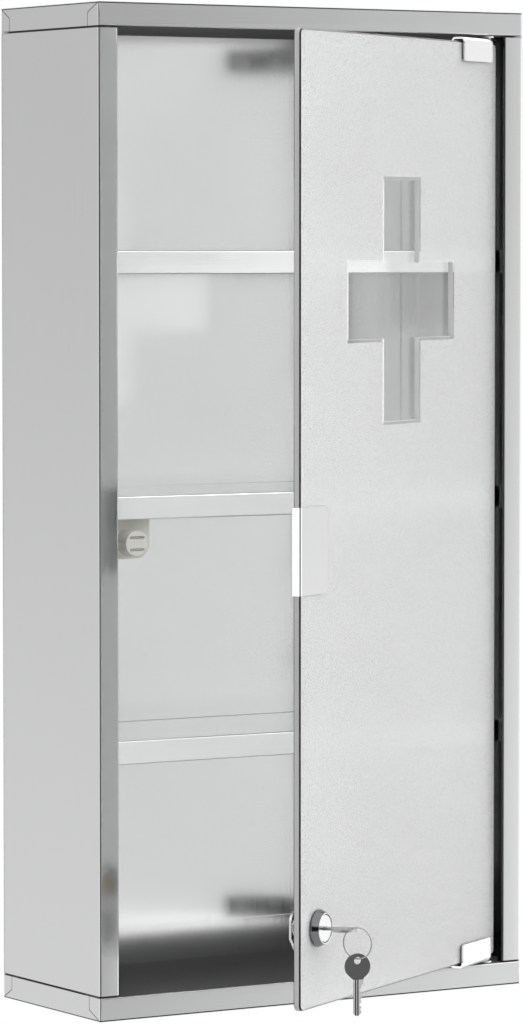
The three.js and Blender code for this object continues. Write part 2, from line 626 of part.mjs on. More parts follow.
// The cam hangs down when unlocked. It is cranked towards the pane below the nut.
function lockCam() {
  const hubY = GLASS_FRONT - PLUG_END + FIT_GAP + CAM_SHEET / 2;
  const stripY = GLASS_FRONT + GLASS_THICKNESS + 5;
  const top = 9;
  const [crankFrom, crankTo] = [6.5, 16.5];
  const side = foldedSheet([
    [hubY, LOCK_Z + top],
    [hubY, LOCK_Z - crankFrom],
    [stripY, LOCK_Z - crankTo],
    [stripY, LOCK_Z - CAM_REACH],
  ], CAM_SHEET, 2.4, 3);
  const half = CAM_WIDTH / 2;
  const face = roundedRect(LOCK_X - half, LOCK_X + half, LOCK_Z - CAM_REACH, LOCK_Z + top,
    Array(4).fill(half - 0.1));
  const square = PLUG_TAIL / 2 + FIT_GAP;
  const hole = block([LOCK_X - square, LOCK_X + square], [hubY - 3, hubY + 3],
    [LOCK_Z - square, LOCK_Z + square]);
  const strip = alongX(side, LOCK_X - half, LOCK_X + half).subtract(hole);
  return strip.intersect(alongY(face, hubY - 12, hubY + 12));
}

function camScrew() {
  const seat = PLUG_END - 2 * FIT_GAP - CAM_SHEET;
  return turned([[0, PLUG_END - 0.2], [1.6, PLUG_END - 0.2], [1.6, seat], [4.5, seat], [4.5, seat - 0.5],
    [3, seat - 0.5], [2.7, seat - 1.2], [1.8, seat - 1.5], [0, seat - 1.5]], LOCK_PLACE, OUTWARDS);
}

// A flat key along +Y from the tip: bitted blade, stop, tapered neck and a round bow with a hole.
function keyShape() {
  const half = KEY_BLADE_WIDTH / 2;
  const bowY = KEY_LENGTH - KEY_BOW_RADIUS;
  const neckY = bowY - 8;
  const neckLean = Math.PI / 5;
  const stop = 1.3;
  const cuts = [[3.4, 0.7], [6.2, 1.2], [9, 0.5], [11.8, 0.9], [14.6, 1.2]];
  const shape = new THREE.Shape();
  shape.moveTo(-half, neckY);
  shape.lineTo(-half, 1.2);
  shape.lineTo(-half + 1.1, 0);
  shape.lineTo(half - 1.8, 0);
  shape.lineTo(half, 1.8);
  for (const [place, depth] of cuts) {
    shape.lineTo(half, place - depth);
    shape.lineTo(half - depth, place);
    shape.lineTo(half - depth, place + 0.5);
    shape.lineTo(half, place + 0.5 + depth);
  }
  shape.lineTo(half, neckY - 2.6);
  shape.lineTo(half + stop, neckY - 2.2);
  shape.lineTo(half + stop, neckY + stop);
  shape.absarc(0, bowY, KEY_BOW_RADIUS, -neckLean, Math.PI + neckLean);
  const hole = new THREE.Path();
  hole.absarc(0, KEY_LENGTH - KEY_HOLE_INSET, KEY_HOLE_RADIUS, 0, Math.PI * 2, true);
  shape.holes.push(hole);
  return shape;
}

function keyBody() {
  const geometry = new THREE.ExtrudeGeometry(keyShape(), {
    depth: KEY_THICKNESS,
    bevelEnabled: false,
    curveSegments: 20,
  });
  return solid(geometry.translate(0, 0, -KEY_THICKNESS / 2));
}

// The key in the lock lies flat, so its bow is level. Its hole takes the ring.
const KEY_TIP = PLUG_FACE - KEY_INSERTED;
const RIM_CENTRE = KEY_TIP + KEY_LENGTH - (KEY_HOLE_INSET - KEY_HOLE_RADIUS) / 2;
const RING_CENTRE = new THREE.Vector3(LOCK_X, GLASS_FRONT - RIM_CENTRE - RING_OVERHANG, LOCK_Z - RING_DROP);

function keyInLock() {
  const mesh = piece('key_in_lock', keyBody(), KEY_STEEL);
  mesh.rotation.x = Math.PI;
  mesh.position.set(LOCK_X, GLASS_FRONT - KEY_TIP, LOCK_Z);
  return mesh;
}

function keyRing() {
  const section = [];
  const sides = 8;
  for (let k = 0; k <= sides; k += 1) {
    const angle = (k * 2 * Math.PI) / sides;
    section.push([RING_RADIUS + RING_WIRE * Math.cos(angle), RING_WIRE * Math.sin(angle)]);
  }
  section[sides] = section[0];
  return turned(section, RING_CENTRE, new THREE.Vector3(1, 0, 0), 40);
}

// The spare key hangs by its hole from the lowest point of the ring, tip down.
function spareKey() {
  const mesh = piece('spare_key', keyBody(), KEY_STEEL);
  const holeZ = RING_CENTRE.z - RING_RADIUS - SPARE_KEY_DROP;
  mesh.rotation.set(Math.PI / 2, 0, THREE.MathUtils.degToRad(SPARE_KEY_TWIST), 'ZYX');
  mesh.position.set(LOCK_X, RING_CENTRE.y, holeZ - KEY_LENGTH + KEY_HOLE_INSET);
  return mesh;
}

const cabinet = new THREE.Group();
cabinet.add(
  piece('left_side_panel', sidePanel(-1), STEEL),
  piece('right_side_panel', sidePanel(1), STEEL),
  piece('top_cap', cap(1), STEEL),
  piece('bottom_cap', cap(-1), STEEL),
  piece('back_panel', backPanel(), STEEL),
  ...Object.entries(SHELF_TOPS).map(([name, top]) => piece(name, shelf(top), STEEL)),
  ...catchPieces(),
  piece('upper_pivot_bush', pivotBush(1), NYLON),
  piece('lower_pivot_bush', pivotBush(-1), NYLON),
);

// The door is modelled closed and then swung open about its pivots.
const closedDoor = new THREE.Group();
closedDoor.position.copy(PIVOT).negate();
closedDoor.add(
  piece('door_glass', pane(), GLASS),
  ...clampPieces('upper', 1),
  ...clampPieces('lower', -1),
  piece('door_handle', doorHandle(), POLISHED_STEEL),
  piece('lock_housing', lockHousing(), CHROME),
  piece('lock_gasket', lockGasket(), RUBBER),
  piece('lock_nut', lockNut(), CHROME),
  piece('lock_plug', lockPlug(), CHROME),
  piece('lock_cam', lockCam(), STEEL),
  piece('cam_screw', camScrew(), BRASS),
  keyInLock(),
  piece('key_ring', keyRing(), KEY_STEEL),
  spareKey(),
);
const door = new THREE.Group();
door.add(closedDoor);
door.position.copy(PIVOT);
door.rotation.z = THREE.MathUtils.degToRad(DOOR_REST_ANGLE);
cabinet.add(door);

export default cabinet;
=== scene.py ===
# %% [markdown]
# # A wall-hung medicine cabinet
# The cabinet is folded from thin stainless sheet and has a frosted glass door on pivot clamps.
# The imported model already holds every rigid piece at its real size, so this lesson gives those
# pieces their finish, models the small things that need finer shapes, and sets camera and light.
# The first step loads the model and moves each piece's placement into its mesh.

# %% Load the frame
import json
from math import cos, pi, radians, sin

import bpy
from mathutils import Matrix, Vector


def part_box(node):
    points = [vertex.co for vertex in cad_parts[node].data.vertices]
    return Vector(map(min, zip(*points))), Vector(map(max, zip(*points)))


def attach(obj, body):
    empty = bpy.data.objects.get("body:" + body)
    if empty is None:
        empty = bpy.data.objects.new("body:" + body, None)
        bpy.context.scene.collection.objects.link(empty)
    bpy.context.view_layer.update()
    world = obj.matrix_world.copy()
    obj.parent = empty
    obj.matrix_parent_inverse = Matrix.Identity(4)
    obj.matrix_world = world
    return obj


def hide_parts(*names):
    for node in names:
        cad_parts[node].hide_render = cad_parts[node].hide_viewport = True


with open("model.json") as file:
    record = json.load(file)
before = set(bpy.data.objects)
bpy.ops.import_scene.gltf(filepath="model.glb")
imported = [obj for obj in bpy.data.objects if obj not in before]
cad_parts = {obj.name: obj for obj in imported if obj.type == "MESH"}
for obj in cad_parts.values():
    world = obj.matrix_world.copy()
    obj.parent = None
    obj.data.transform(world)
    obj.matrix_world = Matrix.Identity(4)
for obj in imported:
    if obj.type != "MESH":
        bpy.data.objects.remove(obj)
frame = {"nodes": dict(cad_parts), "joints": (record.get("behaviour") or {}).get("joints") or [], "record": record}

MM = 0.001
nodes = frame["nodes"]
joints = {joint["name"]: joint for joint in frame["joints"]}
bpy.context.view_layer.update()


# %% [markdown]
# ## The camera
# The picture was taken from the left, a little above the middle, with a long lens. The six visible
# corners of the case fix that view: the turn, the tilt, the distance and the focal length were
# solved from them. A camera looks along its own -Z, so it is stood up by a quarter turn, tilted
# down and then turned to the right.

# %% Camera
PHOTO_WIDTH, PHOTO_HEIGHT = 523, 1024
FOCAL_PIXELS = 5065
SENSOR = 36
CAMERA_PLACE = Vector((-1.6256, -2.6906, 0.1599))
CAMERA_TURN = radians(31.676)
CAMERA_TILT = radians(-3.059)
NEAREST = 0.05

bpy.ops.object.camera_add(location=CAMERA_PLACE, rotation=(pi / 2 + CAMERA_TILT, 0, -CAMERA_TURN))
camera = bpy.context.object
camera.data.sensor_width = SENSOR
camera.data.lens = FOCAL_PIXELS * SENSOR / max(PHOTO_WIDTH, PHOTO_HEIGHT)
camera.data.clip_start = NEAREST
bpy.context.scene.camera = camera
bpy.context.scene.view_settings.view_transform = "Standard"
print(f"lens {camera.data.lens:.1f} mm, {camera.location.length:.2f} m from the cabinet")


# %% [markdown]
# ## Small helpers for nodes
# Every material below is a handful of nodes. `add` makes one node and fills its inputs, each with
# a number, a colour or the output of another node, so that a material reads from top to bottom in
# the order in which it is worked out.

# %% Node helpers
def add(tree, kind, inputs=None, **settings):
    """Adds a node, sets its settings, and fills or links its inputs."""
    made = tree.nodes.new(kind)
    for key, value in settings.items():
        setattr(made, key, value)
    for key, value in (inputs or {}).items():
        if isinstance(value, bpy.types.NodeSocket):
            tree.links.new(value, made.inputs[key])
        else:
            made.inputs[key].default_value = value
    return made


def maths(tree, operation, first, second=0.0):
    """One sum on two values."""
    return add(tree, "ShaderNodeMath", {0: first, 1: second}, operation=operation).outputs[0]


def ramp(tree, value, low, high, out_low=0.0, out_high=1.0):
    """Turns a stretch of values smoothly into another."""
    made = add(tree, "ShaderNodeMapRange", {
        "Value": value, "From Min": low, "From Max": high, "To Min": out_low, "To Max": out_high,
    }, interpolation_type="SMOOTHSTEP")
    return made.outputs["Result"]


def mix_value(tree, share, first, second):
    """A value between two others."""
    return add(tree, "ShaderNodeMix", {"Factor": share, 2: first, 3: second}, data_type="FLOAT").outputs[0]


def mix_colour(tree, share, first, second):
    """A colour between two others."""
    return add(tree, "ShaderNodeMix", {"Factor": share, 6: first, 7: second}, data_type="RGBA").outputs[2]


def group(name, inputs, outputs):
    """An empty shader group with its named sockets."""
    tree = bpy.data.node_groups.new(name, "ShaderNodeTree")
    for socket, kind in inputs.items():
        tree.interface.new_socket(socket, in_out="INPUT", socket_type=f"NodeSocket{kind}")
    for socket, kind in outputs.items():
        tree.interface.new_socket(socket, in_out="OUTPUT", socket_type=f"NodeSocket{kind}")
    return tree, tree.nodes.new("NodeGroupInput"), tree.nodes.new("NodeGroupOutput")


def material(name):
    """A new material, its tree and its Principled shader."""
    made = bpy.data.materials.new(name)
    made.use_nodes = True
    return made, made.node_tree, made.node_tree.nodes["Principled BSDF"]


print("node helpers ready")


# %% [markdown]
# ## The light
# The cabinet hangs in a plain studio: pale walls, a soft light box on either side, more light from
# above, and a narrow unlit stretch where the picture was taken from. Polished steel shows what stands
# around it, so the dark stretch draws the black lines along bends and arrises, and the soft edge of the
# right box gives the front its grey. A world that depends on the direction does this without lamps:
# a list of bearings with their strengths, changed a little with the height, which runs from -1 straight
# down to 1 straight up. It is plain white where the camera looks past the cabinet.

# %% World
DARK_SIDE, FRONT_WALL, WALLS, CEILING = 0.045, 0.57, 0.85, 1.3
LEFT_BOX, BOX_EDGE, RIGHT_BOX, RIGHT_WALL = 1.1, 2.25, 2.5, 1.1
AROUND = (
    (-180, WALLS), (-138, WALLS), (-120, LEFT_BOX), (-76, LEFT_BOX), (-60, DARK_SIDE), (-16, DARK_SIDE),
    (2, FRONT_WALL), (24, FRONT_WALL), (47, BOX_EDGE), (56, RIGHT_BOX), (68, RIGHT_BOX),
    (82, RIGHT_WALL), (110, RIGHT_WALL), (140, WALLS), (180, WALLS),
)
FLOOR_FROM, FLOOR_TO, WALL_FROM = -0.16, -0.4, 0.05
UPPER_WALL, LOWER_WALL = 0.86, 1.1
GAIN_FROM, GAIN_TO, UPPER_GAIN = 0.2, 0.4, 1.85
LEAST_FROM, LEAST_TO, UPPER_LEAST = 0.15, 0.35, 1.35
CEILING_FROM, CEILING_TO = 0.6, 0.8
WHITE = (1, 1, 1, 1)

world = bpy.data.worlds.new("studio")
bpy.context.scene.world = world
world.use_nodes = True
tree = world.node_tree
direction = add(tree, "ShaderNodeTexCoord").outputs["Generated"]
parts = add(tree, "ShaderNodeSeparateXYZ", {0: direction}).outputs
height = parts["Z"]
bearing = maths(tree, "ARCTAN2", parts["X"], maths(tree, "MULTIPLY", parts["Y"], -1.0))
around = WALLS
for (begin, here), (stop, after) in zip(AROUND, AROUND[1:]):
    step = ramp(tree, bearing, radians(begin), radians(stop), 0.0, after - here)
    around = maths(tree, "ADD", step, around)
fading = ramp(tree, height, FLOOR_FROM, WALL_FROM, LOWER_WALL, UPPER_WALL)
around = maths(tree, "MULTIPLY", around, fading)
around = maths(tree, "MULTIPLY", around, ramp(tree, height, GAIN_FROM, GAIN_TO, 1.0, UPPER_GAIN))
around = maths(tree, "MAXIMUM", around, ramp(tree, height, LEAST_FROM, LEAST_TO, 0.0, UPPER_LEAST))
room = mix_value(tree, ramp(tree, height, CEILING_FROM, CEILING_TO), around, CEILING)
room = mix_value(tree, ramp(tree, height, FLOOR_FROM, FLOOR_TO), room, 1.0)
seen = add(tree, "ShaderNodeLightPath").outputs["Is Camera Ray"]
background = tree.nodes["Background"]
background.inputs["Color"].default_value = WHITE
tree.links.new(mix_value(tree, seen, room, 1.0), background.inputs["Strength"])
print("studio with light boxes of", LEFT_BOX, RIGHT_BOX, "and a dark side of", DARK_SIDE)


# %% [markdown]
# The cabinet hangs on a wall at eye height, so the floor is a long way below it. It is one pale
# sheet: white wherever it is seen directly, in metal or through glass, and plain matt for the
# light that it sends back up.

# %% Floor
FLOOR_LEVEL, FLOOR_SIZE = -1.3, 7
FLOOR_COLOUR, FLOOR_ROUGHNESS = (0.8, 0.8, 0.8, 1), 0.9

bpy.ops.mesh.primitive_plane_add(size=FLOOR_SIZE, location=(0, 0, FLOOR_LEVEL))
floor = bpy.context.object
floor.name = "floor"
pale, tree, shader = material("pale_floor")
shader.inputs["Base Color"].default_value = FLOOR_COLOUR
shader.inputs["Roughness"].default_value = FLOOR_ROUGHNESS
path = add(tree, "ShaderNodeLightPath").outputs
mirrored = maths(tree, "MAXIMUM", path["Is Glossy Ray"], path["Is Transmission Ray"])
shown = maths(tree, "MAXIMUM", path["Is Camera Ray"], mirrored)
glow = add(tree, "ShaderNodeEmission", {"Color": WHITE, "Strength": 1.0})
mix = add(tree, "ShaderNodeMixShader", {0: shown, 1: shader.outputs[0], 2: glow.outputs[0]})
tree.links.new(mix.outputs[0], tree.nodes["Material Output"].inputs["Surface"])
floor.data.materials.append(pale)
print("floor", FLOOR_LEVEL, "m")


# %% [markdown]
# ## Effects that several finishes share
# Satin stainless has a fine grain from the grinding belt, and every piece that is handled has
# faint smudges. Each is a node group, built once and placed in the materials with other values.
# The grain is a noise that has been stretched a hundredfold along the belt's direction, and the
# smudges are a soft noise the size of a hand. A third group is the small, even grain of moulded
# plastic and etched glass.

# %% Shared effects
STREAK_LOW, STREAK_HIGH = 0.25, 0.75
PATCH_LOW, PATCH_HIGH = 0.4, 0.75


def belt_grain():
    """Streaks along a stretched direction, for roughness and height."""
    tree, start, end = group("belt_grain", {"Place": "Vector"}, {"Streaks": "Float"})
    long = add(tree, "ShaderNodeTexNoise", {
        "Vector": start.outputs["Place"], "Scale": 1.0, "Detail": 4.0, "Roughness": 0.65,
    })
    tree.links.new(ramp(tree, long.outputs["Fac"], STREAK_LOW, STREAK_HIGH), end.inputs["Streaks"])
    return tree


def hand_smudges():
    """Large soft patches where a surface is a little duller."""
    tree, start, end = group("hand_smudges", {"Place": "Vector", "Size": "Float"}, {"Patches": "Float"})
    patch = add(tree, "ShaderNodeTexNoise", {
        "Vector": start.outputs["Place"], "Scale": start.outputs["Size"], "Detail": 3.0, "Distortion": 0.6,
    })
    tree.links.new(ramp(tree, patch.outputs["Fac"], PATCH_LOW, PATCH_HIGH), end.inputs["Patches"])
    return tree


def fine_grain():
    """Small even grain, as on moulded plastic, rubber or etched glass."""
    tree, start, end = group("fine_grain", {"Place": "Vector", "Size": "Float"}, {"Grain": "Float"})
    speck = add(tree, "ShaderNodeTexNoise", {
        "Vector": start.outputs["Place"], "Scale": start.outputs["Size"], "Detail": 2.0,
    })
    tree.links.new(speck.outputs["Fac"], end.inputs["Grain"])
    return tree


BELT_GRAIN, HAND_SMUDGES, FINE_GRAIN = belt_grain(), hand_smudges(), fine_grain()


def placed(tree, effect, inputs):
    """A shared effect in a material, with its own values."""
    return add(tree, "ShaderNodeGroup", inputs, node_tree=effect).outputs[0]


print("effects:", BELT_GRAIN.name, HAND_SMUDGES.name, FINE_GRAIN.name)


# %% [markdown]
# ## Metals
# All the metals are one recipe with different numbers: a colour, a roughness that rises along the
# grain and in the smudges, and a bump so low that it only breaks up the reflections. The stretch
# says which way the belt ran: along the height of the sides and the back, along the width of the
# caps and shelves.

# %% Metals
UPRIGHT = (1800, 1800, 14)
LEVEL = (14, 1800, 1800)
ALL_WAYS = (700, 700, 700)
HAND_SIZE = 9.0
GRAIN_SHADE, GRAIN_RELIEF, GRAIN_HEIGHT = 0.97, 0.04, 0.02 * MM


def metal(name, colour, stretch, roughness, streak, smudge=0.05):
    """A metal with grain and smudges."""
    made, tree, shader = material(name)
    place = add(tree, "ShaderNodeTexCoord").outputs["Object"]
    along = add(tree, "ShaderNodeMapping", {"Vector": place, "Scale": stretch}).outputs["Vector"]
    streaks = placed(tree, BELT_GRAIN, {"Place": along})
    patches = placed(tree, HAND_SMUDGES, {"Place": place, "Size": HAND_SIZE})
    duller = maths(tree, "MULTIPLY_ADD", streaks, streak)
    duller.node.inputs[2].default_value = roughness
    total = maths(tree, "MULTIPLY_ADD", patches, smudge)
    tree.links.new(duller, total.node.inputs[2])
    tree.links.new(total, shader.inputs["Roughness"])
    darker = tuple(GRAIN_SHADE * part for part in colour)
    tint = mix_colour(tree, streaks, (*darker, 1), (*colour, 1))
    tree.links.new(tint, shader.inputs["Base Color"])
    bump = add(tree, "ShaderNodeBump", {
        "Strength": GRAIN_RELIEF, "Distance": GRAIN_HEIGHT, "Height": streaks,
    })
    tree.links.new(bump.outputs["Normal"], shader.inputs["Normal"])
    shader.inputs["Metallic"].default_value = 1.0
    return made


SATIN = (0.66, 0.665, 0.665)
# A paler steel colour as painted light, for the insides of the case and the shelves.
PAINTED_LIGHT_STEEL = (0.96, 0.965, 0.965)
POLISHED = (0.9, 0.905, 0.91)
CHROME = (0.78, 0.785, 0.79)
KEY_GREY = (0.42, 0.42, 0.42)
FASTENER_GREY = (0.58, 0.58, 0.585)
BRASS = (0.6, 0.44, 0.19)

# The shelves get the paler colour as painted light.
painted_light_level = metal("painted_light_steel_level", PAINTED_LIGHT_STEEL, LEVEL, roughness=0.13, streak=0.06)
polished_steel = metal("polished_steel", POLISHED, ALL_WAYS, roughness=0.06, streak=0.03, smudge=0.03)
chrome = metal("chrome", CHROME, ALL_WAYS, roughness=0.05, streak=0.02, smudge=0.02)
key_steel = metal("key_steel", KEY_GREY, ALL_WAYS, roughness=0.28, streak=0.14)
fastener_steel = metal("fastener_steel", FASTENER_GREY, ALL_WAYS, roughness=0.24, streak=0.1)
brass = metal("brass", BRASS, ALL_WAYS, roughness=0.25, streak=0.12)
print("metals ready")


# %% [markdown]
# The sheets of the case don't look the same all over. The front faces get a darker steel colour than the
# sides. The side panels get a paler colour on the inside as painted light, and the caps a dark one there as
# painted shade. The joints get a painted shadow line and the narrow folds along top and bottom a painted
# dark reflection, and the channel behind the stile at the hinges gets painted shade. All of these lie at
# known distances from the middle of the case, so one shared effect finds them from the place alone, and no
# sheet has to be split or given a texture image.

# %% Zones of the case
HALF_WIDTH, HALF_HEIGHT, CASE_DEPTH, SHEET = 150 * MM, 300 * MM, 118 * MM, 0.8 * MM
JOINT_LEVEL, JOINT_WIDTH = 285.25 * MM, 1.3 * MM
FOLD_LEVEL, FOLD_WIDTH = 299.3 * MM, 0.8 * MM
CHANNEL_DEPTH = 34 * MM


def case_zones():
    """Masks for the front, the inside, the hinge channel with its painted shade, and the lines of painted shade
    along joints and folds.
    """
    outputs = ("Front", "Inside", "ShadedChannel", "ShadeLines")
    tree, start, end = group("case_zones", {"Place": "Vector"}, dict.fromkeys(outputs, "Float"))
    parts = add(tree, "ShaderNodeSeparateXYZ", {0: start.outputs["Place"]}).outputs
    across = maths(tree, "ABSOLUTE", parts["X"])
    level = maths(tree, "ABSOLUTE", parts["Z"])
    front = maths(tree, "LESS_THAN", parts["Y"], SHEET / 2 - CASE_DEPTH)
    within = maths(tree, "LESS_THAN", across, HALF_WIDTH - SHEET / 2)
    below = maths(tree, "LESS_THAN", level, HALF_HEIGHT - SHEET / 2)
    within = maths(tree, "MULTIPLY", within, below)
    before_back = maths(tree, "LESS_THAN", parts["Y"], -SHEET / 2)
    within = maths(tree, "MULTIPLY", within, before_back)
    inside = maths(tree, "MULTIPLY", within, maths(tree, "SUBTRACT", 1.0, front))
    # Painted shadow along the joints and a painted dark reflection along the top and bottom folds.
    joint = maths(tree, "COMPARE", level, JOINT_LEVEL)
    joint.node.inputs[2].default_value = JOINT_WIDTH / 2
    fold = maths(tree, "COMPARE", level, FOLD_LEVEL)
    fold.node.inputs[2].default_value = FOLD_WIDTH / 2
    # The channel behind the stile on the hinge side gets painted shade.
    near_front = maths(tree, "LESS_THAN", parts["Y"], CHANNEL_DEPTH - CASE_DEPTH)
    hinge_side = maths(tree, "MULTIPLY", near_front, maths(tree, "GREATER_THAN", parts["X"], 0.0))
    shaded_channel = maths(tree, "MULTIPLY", inside, hinge_side)
    for name, mask in zip(outputs, (front, inside, shaded_channel, maths(tree, "MAXIMUM", joint, fold))):
        tree.links.new(mask, end.inputs[name])
    return tree


CASE_ZONES = case_zones()
print("zones of the case:", [socket.name for socket in CASE_ZONES.interface.items_tree])


# %% [markdown]
# Each kind of sheet is the satin steel from above with a colour mixed in for each zone, several of them
# painted light or shade. The insides of the caps, with their painted shade, are matt as well, so there the
# mask also takes the shine away.

# %% Steel of the case
FRONT_STEEL = (0.48, 0.485, 0.485)
# A dark colour as painted shade on the insides of the caps.
CAP_INSIDE_SHADE = (0.12, 0.12, 0.12)
# A dark colour as painted shadow along the joints and painted dark reflection along the folds.
SHADE = (0.04, 0.04, 0.04)
# A dark colour as painted shade in the hinge channel.
CHANNEL_SHADE = (0.09, 0.09, 0.09)


def case_steel(name, stretch, colours, matt_inside):
    """Satin steel with a colour for each zone of the case, a later one over an earlier one."""
    made = metal(name, SATIN, stretch, roughness=0.1, streak=0.06)
    tree = made.node_tree
    shader = tree.nodes["Principled BSDF"]
    place = add(tree, "ShaderNodeTexCoord").outputs["Object"]
    zones = add(tree, "ShaderNodeGroup", {"Place": place}, node_tree=CASE_ZONES).outputs
    tint = shader.inputs["Base Color"].links[0].from_socket
    for zone, colour in colours.items():
        tint = mix_colour(tree, zones[zone], tint, (*colour, 1))
    tree.links.new(tint, shader.inputs["Base Color"])
    if matt_inside:
        ground_side = shader.inputs["Roughness"].links[0].from_socket
        tree.links.new(maths(tree, "MAXIMUM", ground_side, zones["Inside"]), shader.inputs["Roughness"])
        tree.links.new(maths(tree, "SUBTRACT", 1.0, zones["Inside"]), shader.inputs["Metallic"])
    return made


# The side panels get painted light inside, and painted shade in the channel and on the lines; the caps get painted
# shade inside and on the lines.
side_colours = {"Front": FRONT_STEEL, "Inside": PAINTED_LIGHT_STEEL, "ShadedChannel": CHANNEL_SHADE, "ShadeLines": SHADE}
cap_colours = {"Front": FRONT_STEEL, "ShadeLines": SHADE, "Inside": CAP_INSIDE_SHADE}
satin_upright = case_steel("satin_steel_upright", UPRIGHT, side_colours, matt_inside=False)
satin_level = case_steel("satin_steel_level", LEVEL, cap_colours, matt_inside=True)
# The back panel's inside gets the paler colour as painted light.
satin_back = case_steel("satin_steel_back", UPRIGHT, {"Inside": PAINTED_LIGHT_STEEL}, matt_inside=False)
print("steel of the case ready")


# %% [markdown]
# Three pieces have more than one tone. The lock's round face is polished bright, while its sloping
# side gets a darker colour as a painted dark reflection. The handle's bend gets a paler colour as a
# painted highlight, and the spare key's blade is paler than its bow. Each is one piece of metal, so a mask
# parts the tones by their place along a line: the lock's axis, the width of the door, or the height.

# %% Metals with two tones
DOOR_ANGLE = radians(31.1)
UP = Vector((0, 0, 1))
FACE_EDGE, BEND_DEPTH, BLADE_LENGTH = 0.12 * MM, 0.5 * MM, 21 * MM
# The lock's sloping side gets a painted dark reflection.
PAINTED_DARK_REFLECTION = (0.18, 0.18, 0.185)
# The handle's bend gets a painted highlight.
PAINTED_BEND_HIGHLIGHT = (0.98, 0.98, 0.98)
SPARE_KEY_GREY, BLADE_STEEL = (0.17, 0.17, 0.17), (0.8, 0.8, 0.8)

lock_line = joints["lock_turn"]
lock_centre = Vector(lock_line["pos_m"])
inward = Vector(lock_line["axis"])
outward = -inward
sideways = Vector((cos(DOOR_ANGLE), sin(DOOR_ANGLE), 0))


def two_tones(made, line, level, below, middle=None):
    """Gives a metal another colour below a level along a line, or nearer than that to a middle."""
    tree = made.node_tree
    shader = tree.nodes["Principled BSDF"]
    place = add(tree, "ShaderNodeTexCoord").outputs["Object"]
    product = add(tree, "ShaderNodeVectorMath", {0: place, 1: line}, operation="DOT_PRODUCT")
    along = product.outputs["Value"]
    if middle is not None:
        along = maths(tree, "ABSOLUTE", maths(tree, "SUBTRACT", along, middle))
    mask = maths(tree, "LESS_THAN", along, level)
    first = shader.inputs["Base Color"].links[0].from_socket
    tree.links.new(mix_colour(tree, mask, first, (*below, 1)), shader.inputs["Base Color"])


def reach(node, line):
    """The least and greatest place of a CAD piece along a line."""
    places = [vertex.co.dot(line) for vertex in nodes[node].data.vertices]
    return min(places), max(places)


# The lock's sloping side is coloured dark as a painted dark reflection.
lock_chrome = metal("lock_chrome", CHROME, ALL_WAYS, roughness=0.05, streak=0.02, smudge=0.02)
two_tones(lock_chrome, outward, reach("lock_housing", outward)[1] - FACE_EDGE, PAINTED_DARK_REFLECTION)
# The handle's bend is coloured pale as a painted highlight.
handle_steel = metal("handle_steel", SATIN, UPRIGHT, roughness=0.1, streak=0.06)
two_tones(handle_steel, sideways, reach("door_handle", sideways)[0] + BEND_DEPTH, PAINTED_BEND_HIGHLIGHT)
spare_key_steel = metal("spare_key_steel", SPARE_KEY_GREY, ALL_WAYS, roughness=0.28, streak=0.14)
two_tones(spare_key_steel, UP, reach("spare_key", UP)[0] + BLADE_LENGTH, BLADE_STEEL)
print("lock face looks along", tuple(round(part, 3) for part in outward))


# %% [markdown]
# ## Plastics, rubber and ferrite
# The catch housing, the bushes, the pads and the magnet are small and matt. A fine grain varies
# their colour a little and raises a soft bump, as the mould or the pressing leaves it.

# %% Moulded materials
MOULD_PATCHES = 60.0
PALER, DULLER = 1.12, 0.12
MOULD_HEIGHT = 0.05 * MM


def moulded(name, colour, roughness, grain_size, relief):
    """A matt moulded material with a fine grain."""
    made, tree, shader = material(name)
    place = add(tree, "ShaderNodeTexCoord").outputs["Object"]
    grain = placed(tree, FINE_GRAIN, {"Place": place, "Size": grain_size})
    patches = placed(tree, HAND_SMUDGES, {"Place": place, "Size": MOULD_PATCHES})
    paler = tuple(min(1.0, PALER * part) for part in colour)
    tree.links.new(mix_colour(tree, grain, (*colour, 1), (*paler, 1)), shader.inputs["Base Color"])
    tree.links.new(ramp(tree, patches, 0, 1, roughness, roughness + DULLER), shader.inputs["Roughness"])
    bump = add(tree, "ShaderNodeBump", {"Strength": relief, "Distance": MOULD_HEIGHT, "Height": grain})
    tree.links.new(bump.outputs["Normal"], shader.inputs["Normal"])
    return made


grey_plastic = moulded("grey_plastic", (0.74, 0.73, 0.68), roughness=0.35, grain_size=1500.0, relief=0.15)
nylon = moulded("nylon", (0.72, 0.71, 0.68), roughness=0.4, grain_size=1500.0, relief=0.15)
rubber = moulded("rubber", (0.012, 0.012, 0.012), roughness=0.6, grain_size=2500.0, relief=0.3)
ferrite = moulded("ferrite", (0.045, 0.045, 0.05), roughness=0.55, grain_size=3000.0, relief=0.4)
print("moulded materials ready")


# %% [markdown]
# ## The glass
# The door is one float glass pane. Its front is etched matt and its edges are ground, while the floor
# of the sunk cross, a narrow border round it and the arrises stay clear. One shader could fade between
# rough and clear, but an etched face also scatters light as thin white paper does. So the pane is clear
# glass, and its etched and ground faces become thin skins of their own further on, with a part of their
# light scattered and the rest let through. The etching mixes finer and coarser specks, so that bright
# things close behind the door still show faintly.

# %% Clear and etched glass
CLEAR, SMUDGED = (0.985, 0.995, 0.99, 1), (0.97, 0.98, 0.975, 1)
CLEAR_ROUGHNESS, SMUDGED_ROUGHNESS = 0.008, 0.03
GLASS_IOR, SKIN_IOR = 1.5, 1.35
ETCH_GRAIN, ETCH_PATCHES, ETCH_RELIEF = 3500.0, 7.0, 0.08
FINE_SPECKS, COARSE_SPECKS = 0.45, 0.53


